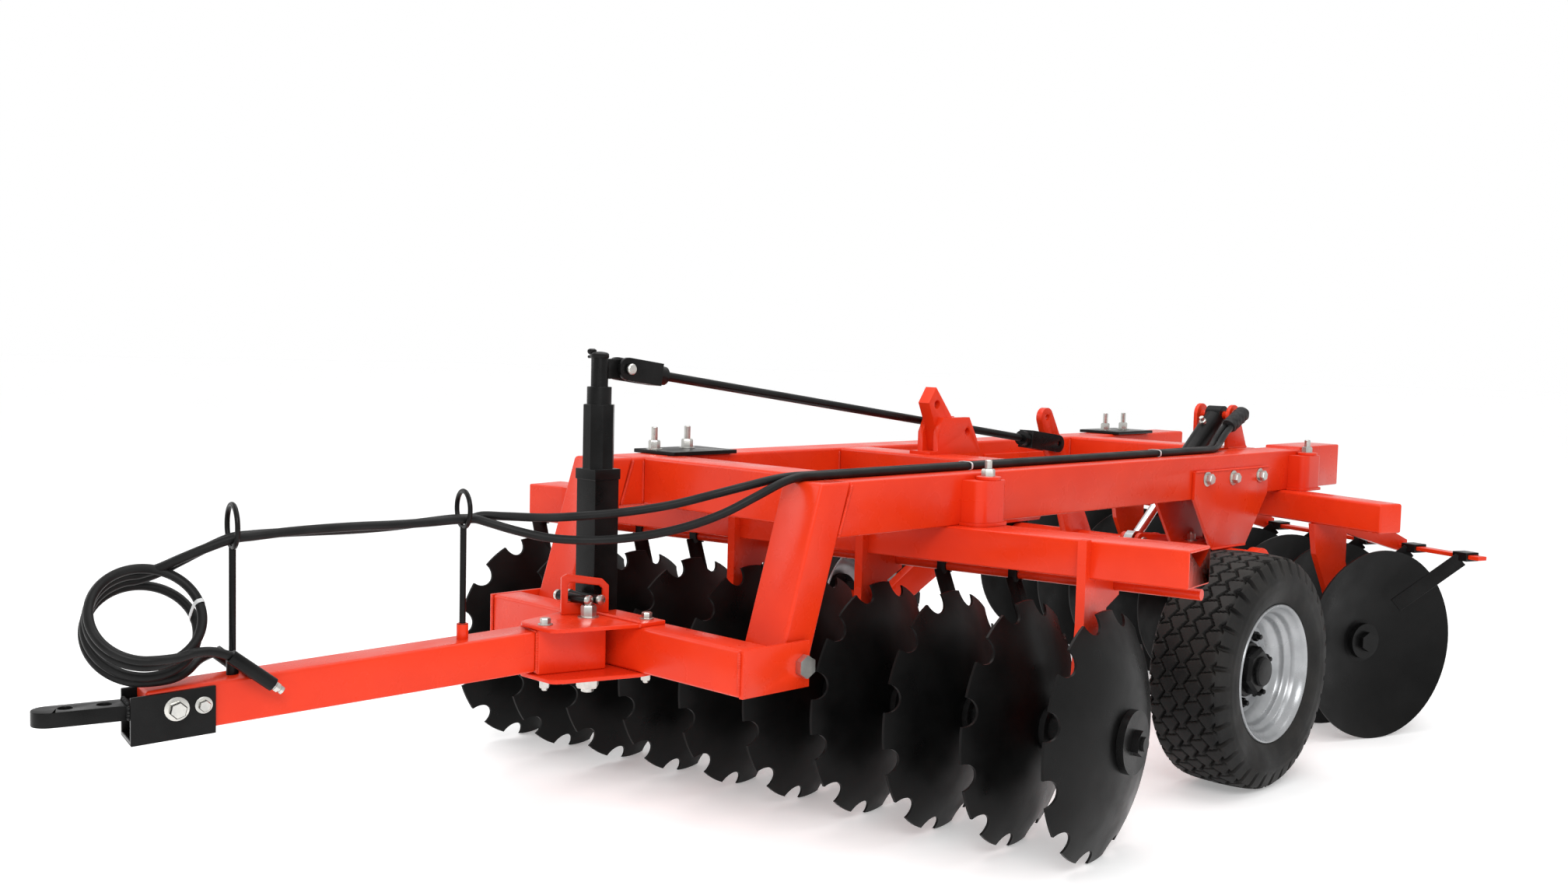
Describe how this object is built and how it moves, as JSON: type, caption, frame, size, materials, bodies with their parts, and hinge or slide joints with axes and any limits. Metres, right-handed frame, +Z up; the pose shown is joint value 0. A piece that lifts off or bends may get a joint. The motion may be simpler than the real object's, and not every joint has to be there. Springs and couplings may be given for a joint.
{
  "type": "disc harrow",
  "caption": "Trailed offset disc harrow: two angled gangs of dished discs under a box frame, rockshaft wheels with lift cylinder, levelling rod, drawbar and hoses.",
  "frame": {"origin": "centre of the hitch bar's front pin hole, at half the bar's thickness", "axes": "+X towards the machine's left side, +Y towards its rear, +Z up; the ground is 0.481 m below the origin"},
  "size_m": [2.4141, 5.0874, 1.287],
  "materials": {
    "red_paint": "glossy orange-red enamel",
    "black_paint": "semi-gloss black enamel",
    "disc_steel": "semi-gloss black coating on pressed steel",
    "zinc": "zinc plate",
    "chrome_rod": "hard chrome",
    "silver_rim": "silver wheel paint",
    "tyre_rubber": "matt rubber",
    "hose_rubber": "wrapped hydraulic hose"
  },
  "bodies": {
    "frame": {"main_beam_left": "red_paint", "main_beam_right": "red_paint", "front_leg_left": "red_paint", "front_leg_right": "red_paint", "cross_member_front": "red_paint", "cross_member_middle": "red_paint", "cross_member_rear": "red_paint", "top_bracket": "red_paint", "top_link": "red_paint", "cylinder_arch": "red_paint", "axle_brackets": "red_paint", "rockshaft_bearings": "black_paint", "front_gang_beam": "red_paint", "rear_gang_beam": "red_paint", "gang_posts": "red_paint", "gang_clamps": "black_paint", "front_hangers": "red_paint", "rear_hangers": "red_paint", "front_scraper_bar": "red_paint", "rear_scraper_bar": "red_paint", "front_scrapers": "black_paint", "rear_scrapers": "black_paint", "drawbar_pins": "zinc", "hose_bundle": "hose_rubber", "hoses_frame": "hose_rubber", "hose_span": "hose_rubber"},
    "front_gang": {"front_gang_shaft": "black_paint", "front_gang_spools": "black_paint", "front_gang_discs": "disc_steel"},
    "rear_gang": {"rear_gang_shaft": "black_paint", "rear_gang_spools": "black_paint", "rear_gang_discs": "disc_steel"},
    "drawbar": {"yoke_beam": "red_paint", "yoke_sides": "red_paint", "fan_plates": "red_paint", "tongue_sleeve": "red_paint", "tongue": "red_paint", "hitch_channel": "black_paint", "hitch_bar": "black_paint", "hose_stands": "black_paint", "tool_bracket": "red_paint", "stored_pins": "black_paint", "level_post": "black_paint", "coupler_holder": "black_paint", "hoses_drawbar": "hose_rubber", "hose_coil": "hose_rubber"},
    "level_rod": {"level_rod": "black_paint"},
    "rockshaft": {"rockshaft_tube": "red_paint", "wheel_arms": "red_paint", "level_lever": "red_paint", "cylinder_lever": "red_paint"},
    "left_wheel": {"rim_left": "silver_rim", "hub_left": "black_paint", "tyre_left": "tyre_rubber"},
    "right_wheel": {"rim_right": "silver_rim", "hub_right": "black_paint", "tyre_right": "tyre_rubber"},
    "cylinder_barrel": {"cylinder_barrel": "black_paint"},
    "cylinder_rod": {"cylinder_rod": "chrome_rod"}
  },
  "joints": [
    {"name": "front_gang_turn", "type": "hinge", "parent": "frame", "child": "front_gang", "pos_m": [1.25923, 2.14315, -0.151], "axis": [0.9866, 0.1633, 0], "continuous": true},
    {"name": "rear_gang_turn", "type": "hinge", "parent": "frame", "child": "rear_gang", "pos_m": [1.17823, 4.00515, -0.151], "axis": [0.9397, -0.342, 0], "continuous": true},
    {"name": "rockshaft_turn", "type": "hinge", "parent": "frame", "child": "rockshaft", "pos_m": [0.29323, 3.60515, 0.129], "axis": [1, 0, 0], "range_deg": [-18, 18]},
    {"name": "left_wheel_turn", "type": "hinge", "parent": "rockshaft", "child": "left_wheel", "pos_m": [1.13623, 3.11115, -0.12], "axis": [1, 0, 0], "continuous": true},
    {"name": "right_wheel_turn", "type": "hinge", "parent": "rockshaft", "child": "right_wheel", "pos_m": [-0.54977, 3.11115, -0.12], "axis": [1, 0, 0], "continuous": true},
    {"name": "drawbar_hinge", "type": "hinge", "parent": "frame", "child": "drawbar", "pos_m": [0.29323, 1.48215, 0.049], "axis": [1, 0, 0], "range_deg": [-8.83, 8.83], "deforming": ["hose_span"]},
    {"name": "level_rod_pivot", "type": "hinge", "parent": "drawbar", "child": "level_rod", "pos_m": [0.19323, 1.39915, 0.771], "axis": [1, 0, 0], "range_deg": [-10.27, 10.27]},
    {"name": "cylinder_pivot", "type": "hinge", "parent": "frame", "child": "cylinder_barrel", "pos_m": [0.54323, 3.95515, 0.619], "axis": [1, 0, 0], "range_deg": [-2.89, 2.89]},
    {"name": "cylinder_stroke", "type": "slide", "parent": "cylinder_barrel", "child": "cylinder_rod", "axis": [0, -0.7823, -0.6229], "range_m": [-0.0519, 0.0519]}
  ],
  "couplings": [
    {"joint": "drawbar_hinge", "follows": "rockshaft_turn", "ratio": 0.49},
    {"joint": "level_rod_pivot", "follows": "rockshaft_turn", "ratio": -0.57},
    {"joint": "cylinder_pivot", "follows": "rockshaft_turn", "ratio": 0.16},
    {"joint": "cylinder_stroke", "follows": "rockshaft_turn", "m_per_rad": 0.165}
  ]
}
